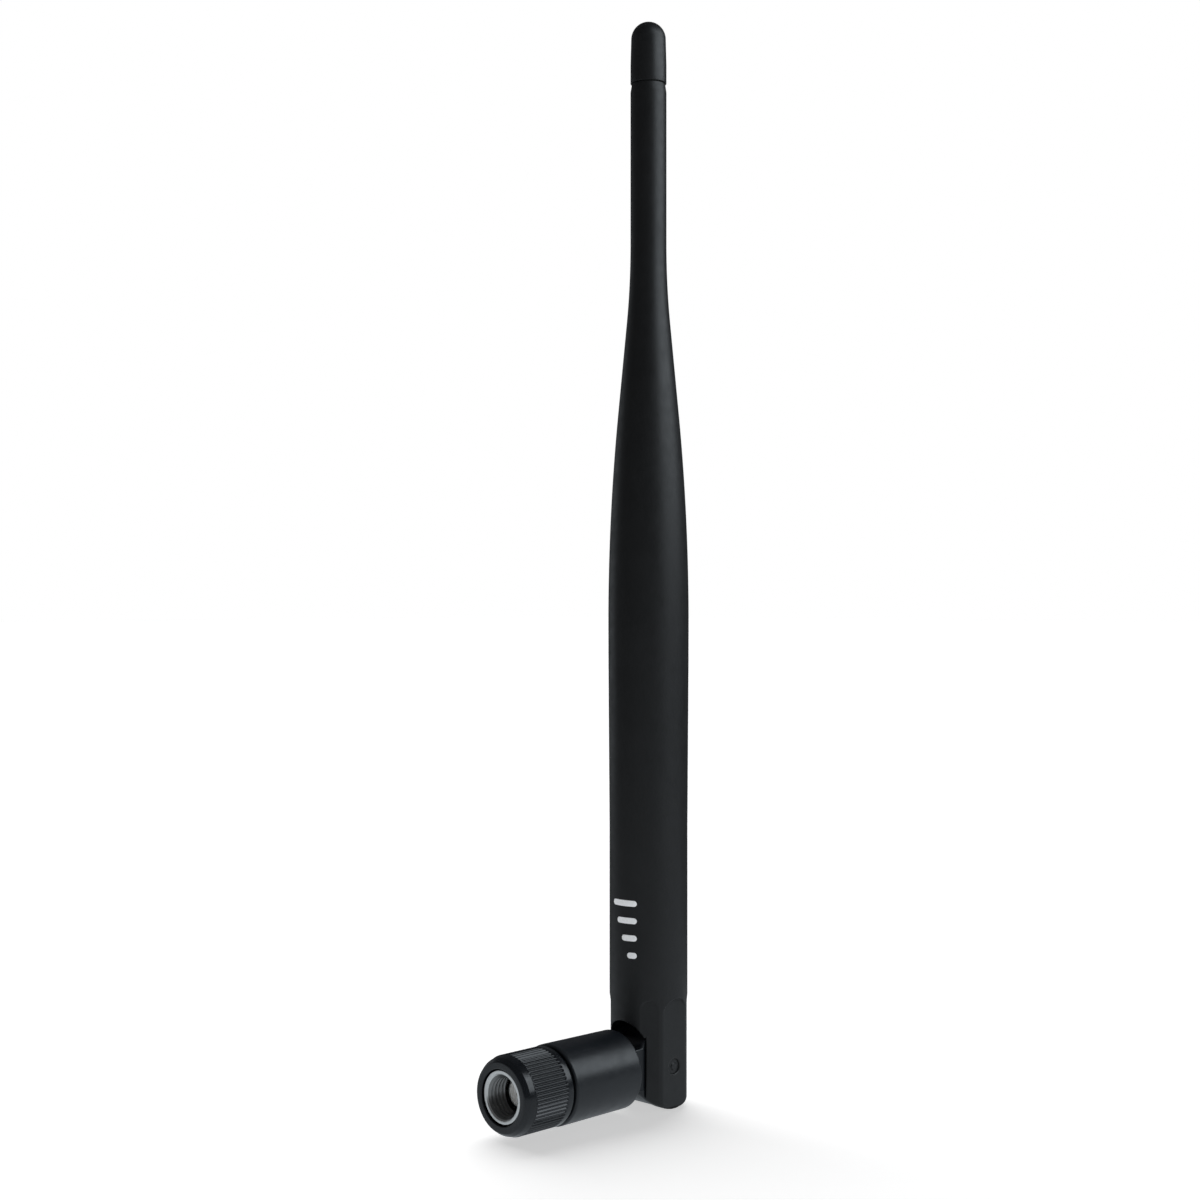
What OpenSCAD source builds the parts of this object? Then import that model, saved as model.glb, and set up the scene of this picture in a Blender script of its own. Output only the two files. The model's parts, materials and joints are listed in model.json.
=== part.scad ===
// Tilt-and-swivel omnidirectional whip antenna with a screw-on coaxial connector.
// The mast stands along +Z and the connector axis lies along Y, with its mouth towards -Y.
// The origin is on the connector axis, at the inner end of the coupling thread.

/* [Mast] */
// Height of the mast's tip above the hinge axis
mast_top = 168; // [150:1:185]
// Height of the seam between radome and tip cap
cap_seam = 158; // [146:1:160]
// Largest radius of the radome
body_r = 6.5; // [6.4:0.05:6.6]
// Radius of the radome's lower end, at the fork
fork_r = 6.3; // [6.2:0.05:6.4]
// Radius of the thin upper neck
neck_r = 2.91; // [2.85:0.01:3.1]
// Radius of the rounded lower end about the hinge axis
heel_r = 6.7; // [6.65:0.05:6.9]
// Wall left around the hollow lower body
wall = 1.5; // [1.3:0.1:1.8]

/* [Hinge] */
// Distance from the coupling thread's inner end to the hinge axis
hinge_y = 28.6; // [28:0.2:32]
// Width of the arm's tongue
tongue_w = 7.2; // [6.8:0.1:7.3]
// Half of the tongue's height
tongue_h = 3.4; // [3.1:0.1:3.5]
// Radius of the tongue's round knuckle
knuckle_r = 6.6; // [6.3:0.1:6.6]
// Side clearance between tongue and fork
fork_gap = 0.2; // [0.15:0.05:0.3]
// Radius of the stub pins
pin_r = 1.2; // [1.1:0.1:1.4]

/* [Swivel arm] */
// Radius of the arm at its connector end
arm_front_r = 6.3; // [6.2:0.05:6.4]
// Radius of the arm at its hinge end
arm_rear_r = 6.22; // [6.15:0.01:6.3]
// Gap from the arm's rear face to the hinge axis
arm_setback = 8; // [7.8:0.1:8.4]

/* [Connector] */
// Radius of the knurled grip over its ribs
grip_r = 6.15; // [6:0.05:6.25]
// Number of ribs around the grip
rib_count = 60; // [48:2:72]
// Depth of the grooves between the ribs
rib_depth = 0.28; // [0.2:0.02:0.35]
// Minor radius of the 1/4-36 coupling thread
thread_r = 2.84; // [2.8:0.01:2.87]
// Length of the coupling thread
thread_len = 2.6; // [2.4:0.1:2.7]
// Outer radius of the brass coupling nut
nut_r = 4.05; // [4:0.05:4.1]

/* [Cable and radiator] */
// Radius of the coaxial cable
coax_r = 0.9; // [0.8:0.05:0.9]
// Bend radius of the cable inside the hinge
bend_r = 4.5; // [4.4:0.1:4.6]
// Height of the feed point above the hinge axis
feed_z = 76; // [72:1:78]
// Length of the quarter-wave choke sleeve
choke_len = 30; // [28:1:32]
// Turns of the phasing coil
coil_turns = 5; // [4:1:6]

/* [Hidden] */
$fn = 96;
far = 40;

// mast
waist_z = [38, 64, 71];
flare_z = [105, 119, 132];
flare_slope = 0.0963;
seam_cone = 1.4;
seam_r = neck_r - 0.22;
cap_straight = 3;
cap_taper_z = 165.2;
cap_dome_r = 2.8;
neck_bore = 1.9;
cavity_floor = 14;
cavity_r = fork_r - wall + 0.2;
cavity_top = [80, 128];
spigot_len = 5;

// hinge
slot_half = tongue_w / 2 + fork_gap;
slot_arch_z = 3.6;
pocket_r = knuckle_r + 0.3;
knuckle_inset = 0.05;
flats_top = 10.9;
flat_x = 5.7;
flat_half = 2.7;
corner_flat = 6.11;
corner_half = 1.45;
pin_inner_x = 1.5;
pin_outer_x = flat_x - 0.08;
pin_play = 0.05;
pin_chamfer = 0.15;
bush_hole_r = 2;
bush_bottom = 8.2;
bush_flange_r = 3.2;
bush_flange = 1;
cable_slot = 1.3;

// arm and swivel
arm_front = 6.4;
arm_end = hinge_y - arm_setback;
arm_edge = [0.35, 0.45];
arm_rear_edge = 0.15;
washer_seat_r = 4.3;
washer_r = 4.2;
washer_end = 6.9;
bush_end = 12.6;
arm_bore = 4;
arm_bore_end = 14.9;
cable_room_r = 2.2;
cable_room_end = 19.2;
neck_journal = 2.6;
journal_play = 0.05;
stop_width = 14;
stop_y = [13.7, 14.4];
stop_tab_r = [2.4, 3.7];
stop_rib_r = 3.1;

// connector
mouth_y = -3.3;
grip_front = -3.6;
grip_end = 6;
knurl_y = [-1.8, 4.8];
nut_end = 5;
nut_journal = 3;
nut_play = 0.08;
mouth_r = 3.64;
relief_r = 3.3;
relief_end = 1.9;
ring_groove = [3.3, 3.9];
ring_groove_r = [2.5, 3.55];
snap_ring_r = [2.6, 3.45];
snap_ring_gap = 1.6;
nose_r = [5, 5.5, 5.8];
nose_step = [0.25, 0.7];
grip_edge = 0.35;
grip_recess_r = 4.25;
ferrule_y = 0.1;
ferrule_r = 2.3;
insulator_r = 2.05;
insulator_end = 7;
tail_bore = 1.5;
socket_r = 0.64;
socket_end = 8.6;
pin_bore_r = 0.46;
pin_bore_end = 3.4;
slit = 0.14;
slit_end = 2.4;
shoulder_y = 1.5;
gasket_r = 3.05;
gasket_len = 0.45;
flange_y = [5.3, 5.9];
flange_r = 3.8;
oring_y = [7.4, 8.5];
oring_groove_r = 1.95;
oring_r = 0.33;
clip_y = [12.9, 13.5];
clip_groove_r = 2.1;
clip_r = [2.12, 3.5];
clip_gap = 2.4;
neck_end = 14.4;
crimp_r = 1.45;
crimp_y = [10.5, 17.5];
coax_start = 9;

// radiator
sleeve_r = [2.25, 2.5];
sleeve_cap = [4, 3];
sleeve_spacer_len = 2.5;
holder_drop = [18, 14];
shrink_r = 1.3;
shrink_bottom = 34;
wire_r = 0.45;
wire_sides = 8;
coil_r = 1.6;
coil_pitch = 1.7;
coil_z = 104;
coil_top = coil_z + coil_turns * coil_pitch;
coil_steps = 16 * coil_turns;
wire_top = 150;
wire_spacer_z = [138, 142];

// Turns a shape drawn as [radius, y] into a solid of revolution about the connector axis.
module about_y() {
  rotate([-90, 0, 0]) rotate_extrude() children();
}

// A ring about the connector axis from y0 to y1.
module ring_y(r_in, r_out, y0, y1) {
  about_y() translate([r_in, y0]) square([r_out - r_in, y1 - y0]);
}

// A plain cylinder about the connector axis.
module rod_y(r, y0, y1) {
  translate([0, y0, 0]) rotate([-90, 0, 0]) cylinder(r = r, h = y1 - y0);
}

// A cylinder across the hinge, about the hinge axis.
module rod_x(r, x0, x1) {
  translate([x0, 0, 0]) rotate([0, 90, 0]) cylinder(r = r, h = x1 - x0);
}

// A tube that stands along the mast.
module tube_z(r_in, r_out, z0, z1) {
  translate([0, 0, z0]) difference() {
    cylinder(r = r_out, h = z1 - z0);
    translate([0, 0, -1]) cylinder(r = r_in, h = z1 - z0 + 2);
  }
}

// Everything on the mast is drawn about the hinge axis and set in place here.
module at_hinge() {
  translate([0, hinge_y, 0]) children();
}

// Height steps along one arc of the flare.
function steps(a, b, n) = [for (i = [0 : n]) a + (b - a) * i / n];

// Outer radius of the flare: a hollow arc above, a straight cone, then a full arc below.
function hollow_arc(z) = neck_r + flare_slope * pow(flare_z[2] - z, 2)
  / (2 * (flare_z[2] - flare_z[1]));
function full_arc(z) = body_r - flare_slope * pow(z - waist_z[2], 2)
  / (2 * (flare_z[0] - waist_z[2]));

module radome_outline() {
  polygon(concat(
    [[0, -far / 2], [fork_r, -far / 2], [fork_r, waist_z[0]], [body_r - 0.02, waist_z[1]]],
    [for (z = steps(waist_z[2], flare_z[0], 8)) [full_arc(z), z]],
    [for (z = steps(flare_z[1], flare_z[2], 6)) [hollow_arc(z), z]],
    [[neck_r, cap_seam - seam_cone], [seam_r, cap_seam], [0, cap_seam]]));
}

module cavity_outline() {
  polygon([[0, cavity_floor], [cavity_r, cavity_floor], [cavity_r, cavity_top[0]],
    [neck_bore, cavity_top[1]], [neck_bore, cap_seam + 1], [0, cap_seam + 1]]);
}

// An upright flat cutter with an arched top, whose face stands at x = depth.
module arched_flat(depth, half) {
  arch_z = flats_top - half;
  translate([depth, -half, -far / 2]) cube([far / 4, 2 * half, far / 2 + arch_z]);
  translate([0, 0, arch_z]) rod_x(half, depth, depth + far / 4);
}

// Slot for the tongue, arched and open right through the fork, with room for the knuckle.
module tongue_pocket() {
  translate([-slot_half, -far / 2, -far / 2]) cube([2 * slot_half, far, far / 2 + slot_arch_z]);
  translate([0, 0, slot_arch_z]) rod_y(slot_half, -far / 2, far / 2);
  rod_x(pocket_r, -slot_half, slot_half);
}

module pin_hole(side) {
  rod_x(pin_r, min(0, side * far / 4), max(0, side * far / 4));
  translate([side * (flat_x - pin_chamfer), 0, 0]) rotate([0, 90 * side, 0])
    cylinder(r1 = pin_r, r2 = pin_r + 2 * pin_chamfer, h = 2 * pin_chamfer);
}

module radome() {
  color([0.13, 0.14, 0.15]) at_hinge() difference() {
    intersection() {
      rotate_extrude() radome_outline();
      union() {
        translate([-far / 2, -far / 2, 0]) cube([far, far, mast_top]);
        rod_x(heel_r, -far / 2, far / 2);
      }
    }
    rotate_extrude() cavity_outline();
    cylinder(r = bush_hole_r, h = cavity_floor + 1);
    tongue_pocket();
    for (side = [-1, 1]) pin_hole(side);
    for (turn = [0, 180]) rotate(turn) arched_flat(flat_x, flat_half);
    for (turn = [45 : 90 : 315]) rotate(turn) arched_flat(corner_flat, corner_half);
  }
}

module tip_cap() {
  color([0.15, 0.16, 0.17]) at_hinge() rotate_extrude() {
    polygon([[0, cap_seam], [neck_r, cap_seam], [neck_r, cap_seam + cap_straight],
      [cap_dome_r, cap_taper_z], [0, cap_taper_z]]);
    intersection() {
      translate([0, mast_top - cap_dome_r]) circle(r = cap_dome_r);
      translate([0, cap_taper_z]) square([far, far]);
    }
    translate([0, cap_seam - spigot_len]) square([neck_bore, spigot_len]);
  }
}

module hinge_pin(side) {
  color([0.2, 0.2, 0.21]) at_hinge()
    rod_x(pin_r, min(side * pin_inner_x, side * pin_outer_x),
      max(side * pin_inner_x, side * pin_outer_x));
}

module hinge_pin_left() hinge_pin(-1);

module hinge_pin_right() hinge_pin(1);

module cable_bush() {
  color([0.3, 0.3, 0.3]) at_hinge() {
    tube_z(coax_r, bush_hole_r, bush_bottom, cavity_floor);
    tube_z(coax_r, bush_flange_r, cavity_floor, cavity_floor + bush_flange);
  }
}

module coax_mast() {
  color([0.35, 0.24, 0.16]) at_hinge() translate([0, 0, bend_r])
    cylinder(r = coax_r, h = feed_z - sleeve_cap[1] - bend_r);
}

module heat_shrink() {
  color([0.1, 0.1, 0.1]) at_hinge()
    tube_z(coax_r, shrink_r, shrink_bottom, feed_z - choke_len - 0.5);
}

// Brass sleeve, open below and closed on the cable's braid at its top.
module choke_sleeve() {
  color([0.8, 0.64, 0.3]) at_hinge() {
    tube_z(sleeve_r[0], sleeve_r[1], feed_z - choke_len, feed_z);
    tube_z(coax_r, sleeve_r[0], feed_z - sleeve_cap[0], feed_z - sleeve_cap[1]);
  }
}

module sleeve_spacer() {
  color([0.93, 0.93, 0.9]) at_hinge()
    tube_z(coax_r, sleeve_r[0], feed_z - choke_len, feed_z - choke_len + sleeve_spacer_len);
}

module sleeve_holder() {
  color([0.85, 0.85, 0.82]) at_hinge()
    tube_z(sleeve_r[1], cavity_r, feed_z - holder_drop[0], feed_z - holder_drop[1]);
}

module feed_bead() {
  color([0.95, 0.95, 0.93]) at_hinge()
    tube_z(wire_r, sleeve_r[0], feed_z - sleeve_cap[1], feed_z);
}

// Centre line of the radiator: straight, a phasing coil, then straight again.
// The coil widens over its first turn and closes again over its last.
function coil_reach(i) = coil_r * min(1, min(i, coil_steps - i) / 16);
function radial(i) = let(a = 360 * coil_turns * i / coil_steps) [cos(a), sin(a), 0];
function coil_point(i) = coil_reach(i) * radial(i)
  + [0, 0, coil_z + (coil_top - coil_z) * i / coil_steps];
function unit(v) = v / norm(v);
function ring_at(p, along, out) = let(
    n1 = unit(out - (out * along) * along),
    n2 = cross(along, n1))
  [for (k = [0 : wire_sides - 1]) let(a = 360 * k / wire_sides)
    p + wire_r * (cos(a) * n1 + sin(a) * n2)];

module radiator_wire() {
  up = [0, 0, 1];
  path = concat([[0, 0, feed_z - sleeve_cap[1]]], [for (i = [0 : coil_steps]) coil_point(i)],
    [[0, 0, wire_top]]);
  last = len(path) - 1;
  rings = [for (i = [0 : last]) ring_at(path[i],
    i == 0 || i == last ? up : unit(path[i + 1] - path[i - 1]), radial(i - 1))];
  n = wire_sides;
  sides = [for (i = [0 : last - 1]) for (k = [0 : n - 1])
    let(a = i * n + k, b = i * n + (k + 1) % n) each [[a, b, b + n], [a, b + n, a + n]]];
  ends = [[for (k = [n - 1 : -1 : 0]) k], [for (k = [0 : n - 1]) last * n + k]];
  color([0.85, 0.6, 0.35]) at_hinge()
    polyhedron([for (r = rings) for (p = r) p], concat(sides, ends));
}

module wire_spacer() {
  color([0.93, 0.93, 0.9]) at_hinge()
    tube_z(wire_r, neck_bore, wire_spacer_z[0], wire_spacer_z[1]);
}

// The short tongue and its round knuckle, which is flush with the upright mast's back.
module tongue_solid() {
  translate([-tongue_w / 2, -arm_setback - 1, -tongue_h])
    cube([tongue_w, arm_setback + 1, 2 * tongue_h]);
  intersection() {
    rod_x(knuckle_r, -tongue_w / 2, tongue_w / 2);
    cylinder(r = fork_r - knuckle_inset, h = far, center = true);
  }
}

// The stop rib stands inside the arm's bore, opposite the connector's stop tab.
module swivel_arm() {
  color([0.16, 0.17, 0.18]) difference() {
    union() {
      about_y() polygon([[0, arm_front], [arm_front_r - arm_edge[0], arm_front],
        [arm_front_r, arm_front + arm_edge[1]], [arm_rear_r, arm_end - arm_rear_edge],
        [arm_rear_r - arm_rear_edge, arm_end], [0, arm_end]]);
      at_hinge() tongue_solid();
    }
    rod_y(washer_seat_r, arm_front - 1, washer_end);
    difference() {
      rod_y(arm_bore, arm_front, arm_bore_end);
      stop_sector(stop_rib_r, arm_bore + 1, stop_y[0] + 0.1, stop_y[1] - 0.1, 90);
    }
    rod_y(cable_room_r, arm_bore_end - 1, cable_room_end);
    rod_y(coax_r + 0.2, cable_room_end - 1, hinge_y - bend_r + 1);
    at_hinge() translate([-cable_slot, -bend_r, -cable_slot])
      cube([2 * cable_slot, far, far]);
    at_hinge() rod_x(pin_r + pin_play, -far / 2, far / 2);
  }
}

// A block of a ring about the connector axis, stop_width degrees wide, centred on an angle.
module stop_sector(r_in, r_out, y0, y1, angle) {
  intersection() {
    ring_y(r_in, r_out, y0, y1);
    rotate([0, -angle, 0]) translate([0, y0 - 1, 0]) rotate([-90, 0, 0])
      linear_extrude(y1 - y0 + 2) polygon([[0, 0], far * [1, tan(stop_width / 2)],
        far * [1, -tan(stop_width / 2)]]);
  }
}

module swivel_bush() {
  color([0.86, 0.7, 0.4])
    ring_y(neck_journal + journal_play, arm_bore, washer_end, bush_end);
}

module swivel_washer() {
  color([0.92, 0.92, 0.9])
    ring_y(neck_journal + 2 * journal_play, washer_r, flange_y[1] + 0.1, washer_end);
}

module coax_arm() {
  color([0.35, 0.24, 0.16]) rod_y(coax_r, coax_start, hinge_y - bend_r);
}

// Quarter turn of cable from the arm's axis up into the mast.
module coax_bend() {
  color([0.35, 0.24, 0.16]) at_hinge() translate([0, -bend_r, bend_r]) rotate([0, 90, 0])
    rotate_extrude(angle = 90) translate([bend_r, 0]) circle(r = coax_r);
}

module connector_body() {
  color([0.78, 0.78, 0.76]) difference() {
    union() {
      about_y() polygon([[0, ferrule_y], [ferrule_r - 0.1, ferrule_y],
        [ferrule_r, ferrule_y + 0.1], [ferrule_r, shoulder_y], [nut_journal, shoulder_y],
        [nut_journal, ring_groove[0]], [ring_groove_r[0], ring_groove[0]],
        [ring_groove_r[0], ring_groove[1]], [nut_journal, ring_groove[1]],
        [nut_journal, flange_y[0]], [flange_r, flange_y[0]],
        [flange_r, flange_y[1]], [neck_journal, flange_y[1]], [neck_journal, oring_y[0]],
        [oring_groove_r, oring_y[0]], [oring_groove_r, oring_y[1]], [neck_journal, oring_y[1]],
        [neck_journal, clip_y[0]], [clip_groove_r, clip_y[0]], [clip_groove_r, clip_y[1]],
        [neck_journal, clip_y[1]], [neck_journal, neck_end], [0, neck_end]]);
      stop_sector(stop_tab_r[0], stop_tab_r[1], stop_y[0], stop_y[1], -90);
    }
    rod_y(insulator_r, -1, insulator_end);
    rod_y(tail_bore, insulator_end - 1, neck_end + 1);
  }
}

module insulator() {
  color([0.94, 0.94, 0.92]) ring_y(socket_r, insulator_r, ferrule_y + 0.1, insulator_end);
}

// Slotted socket for the mating centre pin.
module centre_socket() {
  color([0.9, 0.72, 0.3]) difference() {
    rod_y(socket_r, ferrule_y + 0.1, socket_end);
    rod_y(pin_bore_r, -1, pin_bore_end);
    for (turn = [0, 90]) rotate([0, turn, 0])
      translate([-1, -1, -slit / 2]) cube([2, slit_end + 1, slit]);
  }
}

module gasket() {
  color([0.25, 0.25, 0.25])
    ring_y(ferrule_r, gasket_r, shoulder_y - gasket_len, shoulder_y);
}

module crimp_sleeve() {
  color([0.75, 0.72, 0.66])
    ring_y(coax_r + 0.05, crimp_r, crimp_y[0], crimp_y[1]);
}

module friction_ring() {
  color([0.12, 0.12, 0.12]) about_y()
    translate([oring_groove_r + oring_r + 0.01, (oring_y[0] + oring_y[1]) / 2]) circle(r = oring_r);
}

// A ring with a gap, about the connector axis.
module split_ring(r_in, r_out, y0, y1, gap) {
  difference() {
    ring_y(r_in, r_out, y0, y1);
    translate([-gap / 2, y0 - 1, 0]) cube([gap, y1 - y0 + 2, far]);
  }
}

module retaining_clip() {
  color([0.6, 0.6, 0.6])
    split_ring(clip_r[0], clip_r[1], clip_y[0] + 0.05, clip_y[1] - 0.05, clip_gap);
}

module nut_snap_ring() {
  color([0.7, 0.62, 0.35]) split_ring(snap_ring_r[0], snap_ring_r[1],
    ring_groove[0] + 0.06, ring_groove[1] - 0.06, snap_ring_gap);
}

// Nut with the thread's minor bore, a relief behind it and a bore that turns on the connector.
module coupling_nut() {
  bore = nut_journal + nut_play;
  color([0.8, 0.8, 0.79]) difference() {
    rod_y(nut_r, mouth_y, nut_end);
    about_y() polygon([[0, mouth_y - 0.1], [mouth_r, mouth_y - 0.1], [thread_r, -thread_len],
      [thread_r, 0], [relief_r, 0], [relief_r, relief_end], [bore, relief_end],
      [bore, ring_groove[0]], [ring_groove_r[1], ring_groove[0]],
      [ring_groove_r[1], ring_groove[1]], [bore, ring_groove[1]], [bore, nut_end + 1],
      [0, nut_end + 1]]);
  }
}

// Moulded grip, pressed over the nut, with axial ribs between a rounded nose and a plain rim.
module nut_grip() {
  color([0.1, 0.1, 0.11]) difference() {
    about_y() polygon([[nut_r, grip_front], [nose_r[0], grip_front],
      [nose_r[1], grip_front + nose_step[0]], [nose_r[2], grip_front + nose_step[1]],
      [grip_r - 0.1, knurl_y[0]], [grip_r, knurl_y[0] + 0.15], [grip_r, grip_end - grip_edge],
      [grip_r - grip_edge, grip_end], [grip_recess_r, grip_end], [grip_recess_r, nut_end],
      [nut_r, nut_end]]);
    for (i = [0 : rib_count - 1]) rotate([0, 360 * i / rib_count, 0])
      translate([0, knurl_y[0], grip_r + 0.05]) rotate([0, 45, 0])
        translate([-rib_depth / 2, 0, -rib_depth / 2])
          cube([rib_depth, knurl_y[1] - knurl_y[0], rib_depth]);
  }
}

radome();
tip_cap();
hinge_pin_left();
hinge_pin_right();
cable_bush();
coax_mast();
heat_shrink();
choke_sleeve();
sleeve_spacer();
sleeve_holder();
feed_bead();
radiator_wire();
wire_spacer();
swivel_arm();
swivel_bush();
swivel_washer();
coax_arm();
coax_bend();
connector_body();
insulator();
centre_socket();
gasket();
crimp_sleeve();
friction_ring();
retaining_clip();
coupling_nut();
nut_grip();
nut_snap_ring();
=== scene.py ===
"""Looks of the tilt-and-swivel whip antenna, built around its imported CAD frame.

Lengths below are in millimetres unless a name says otherwise; meshes are scaled to metres
as they are made. The mast is drawn about the hinge axis, everything on the connector about
its axis, which lies along Y.
"""
import json
import math

import bpy
import numpy as np
from mathutils import Matrix, Vector


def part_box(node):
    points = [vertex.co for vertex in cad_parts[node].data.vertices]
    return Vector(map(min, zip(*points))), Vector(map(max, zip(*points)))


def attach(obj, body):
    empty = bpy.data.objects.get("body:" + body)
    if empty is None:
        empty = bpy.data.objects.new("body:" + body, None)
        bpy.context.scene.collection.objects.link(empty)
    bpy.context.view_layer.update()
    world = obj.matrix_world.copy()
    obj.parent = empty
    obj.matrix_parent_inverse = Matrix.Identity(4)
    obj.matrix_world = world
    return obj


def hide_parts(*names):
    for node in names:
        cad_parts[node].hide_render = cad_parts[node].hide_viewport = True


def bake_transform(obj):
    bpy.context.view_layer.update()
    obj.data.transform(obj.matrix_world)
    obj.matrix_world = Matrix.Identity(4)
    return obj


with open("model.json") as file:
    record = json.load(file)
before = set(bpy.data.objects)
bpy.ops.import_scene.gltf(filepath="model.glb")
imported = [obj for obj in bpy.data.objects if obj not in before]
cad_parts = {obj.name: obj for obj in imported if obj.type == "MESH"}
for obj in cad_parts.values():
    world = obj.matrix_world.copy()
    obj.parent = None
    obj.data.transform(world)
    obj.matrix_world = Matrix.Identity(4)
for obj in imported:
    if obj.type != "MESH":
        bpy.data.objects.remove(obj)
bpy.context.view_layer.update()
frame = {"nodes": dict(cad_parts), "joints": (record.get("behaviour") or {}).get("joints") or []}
MM = 0.001


def cad(node):
    """Lowest and highest corner of a CAD node, in millimetres."""
    lo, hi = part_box(node)
    return [v / MM for v in lo], [v / MM for v in hi]


def joint_place(name):
    """A joint's place in the row frame, in millimetres."""
    for joint in frame["joints"]:
        if joint["name"] == name:
            return [v / MM for v in joint["pos_m"]]
    raise ValueError(name)


# Driving sizes, from the frame
HINGE_Y = joint_place("mast_tilt")[1]
RADOME_LO, RADOME_HI = cad("radome")
CAP_HI = cad("tip_cap")[1]
ARM_LO, ARM_HI = cad("swivel_arm")
GRIP_LO, GRIP_HI = cad("nut_grip")
NUT_LO, NUT_HI = cad("coupling_nut")
INSULATOR_LO, INSULATOR_HI = cad("insulator")
SOCKET_HI = cad("centre_socket")[1]
PIN_LO, PIN_HI = cad("hinge_pin_right")
COAX_R = cad("coax_mast")[1][0]
BODY_R = RADOME_HI[0]
HEEL_R = -RADOME_LO[2]
SEAM_Z = RADOME_HI[2]
TIP_Z = CAP_HI[2]
NECK_R = CAP_HI[0]
GRIP_R = GRIP_HI[0]
ARM_R = ARM_HI[0]

# Mast profile
FORK_R = BODY_R - 0.2
WAIST_Z = (38.0, 64.0, 71.0)
FLARE_Z = (105.0, 119.0, 132.0)
FLARE_SLOPE = 0.0963
SEAM_CONE = 1.4
SEAM_STEP = 0.22
CAVITY_FLOOR = 14.0
CAVITY_R = 5.0
CAVITY_TOP = (80.0, 128.0)
NECK_BORE = 1.9
CABLE_HOLE_R = 2.0

# Hinge
TONGUE_HALF = 3.6
TONGUE_H = 3.4
KNUCKLE_R = 6.6
KNUCKLE_INSET = 0.05
SLOT_HALF = 3.8
SLOT_ARCH_Z = 3.6
POCKET_R = KNUCKLE_R + 0.3
FLATS_TOP = 10.9
FLAT_X, FLAT_HALF = 5.7, 2.7
CORNER_FLAT, CORNER_HALF = 6.11, 1.45
PIN_R = PIN_HI[2]
CABLE_SLOT = 1.3
BEND_R = 4.5
HOLE_CHAMFER = 0.15

# Swivel arm: bores about the connector axis as (radius, end), and the rib of the stop
ARM_FRONT = ARM_LO[1]
ARM_END = HINGE_Y - 8.0
ARM_REAR_R = ARM_R - 0.08
BUSH_BORE = (4.3, 6.9)
PLUG_BORE = (4.0, 14.9)
CABLE_ROOM = (2.2, 19.2)
CABLE_PLAY = 0.2
STOP_Y = (13.8, 14.3)
STOP_HALF, STOP_R = 0.43, 3.1

# Grip
RIBS = 60
RIB_DEPTH = 0.26
KNURL_Y = (-1.8, 4.8)
KNURL_RAMP = 0.3
GRIP_NOSE = [(5.35, 0), (5.85, 0.75)]
GRIP_SEAT_R = 4.25

# Nut and plug
THREAD_PITCH = 25.4 / 36
THREAD_MINOR, THREAD_MAJOR = 2.84, 3.175
THREAD_FRONT = -2.6
RELIEF_R, RELIEF_END = 3.3, 1.9
JOURNAL_R = 3.08
SNAP_GROOVE_R, SNAP_GROOVE_Y = 3.55, (3.3, 3.9)
PLUG_FERRULE_R = 2.3

# Tip cap
DOME_R, SHOULDER_Z = 2.8, 165.2
SPIGOT = 5.0


# ---------------------------------------------------------------- mesh helpers

def make(name, points, faces, smooth=True):
    """A mesh object from points in millimetres."""
    mesh = bpy.data.meshes.new(name)
    mesh.from_pydata((np.asarray(points) * MM).tolist(), [], [list(f) for f in faces])
    mesh.validate()
    mesh.polygons.foreach_set("use_smooth", [smooth] * len(mesh.polygons))
    obj = bpy.data.objects.new(name, mesh)
    bpy.context.scene.collection.objects.link(obj)
    return obj


def rounded(points, radii, steps=5):
    """A closed outline with its corners rounded: radii is one number or one for each corner."""
    points = [np.array(p, float) for p in points]
    n = len(points)
    if not hasattr(radii, "__len__"):
        radii = [radii] * n
    out = []
    for i, p in enumerate(points):
        a, b = points[i - 1] - p, points[(i + 1) % n] - p
        la, lb = np.linalg.norm(a), np.linalg.norm(b)
        a, b = a / la, b / lb
        half = math.acos(max(-1.0, min(1.0, float(a @ b)))) / 2
        on_axis = abs(p[0]) < 1e-6
        if radii[i] <= 0 or half > math.radians(88) or on_axis:
            out.append(p)
            continue
        back = min(radii[i] / math.tan(half), 0.45 * la, 0.45 * lb)
        r = back * math.tan(half)
        centre = p + (a + b) / np.linalg.norm(a + b) * (r / math.sin(half))
        start, end = p + a * back - centre, p + b * back - centre
        sweep = math.pi - 2 * half
        turn = 1 if start[0] * end[1] - start[1] * end[0] > 0 else -1
        for k in range(steps + 1):
            t = turn * sweep * k / steps
            c, s = math.cos(t), math.sin(t)
            out.append(centre + np.array([c * start[0] - s * start[1], s * start[0] + c * start[1]]))
    return out


def subdivided(outline, step, closed=True):
    """The same outline with no stretch longer than step."""
    out = []
    n = len(outline)
    for i in range(n if closed else n - 1):
        a, b = outline[i], outline[(i + 1) % n]
        parts = max(1, int(math.ceil(np.linalg.norm(b - a) / step)))
        out += [a + (b - a) * k / parts for k in range(parts)]
    if not closed:
        out.append(outline[-1])
    return out


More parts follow.
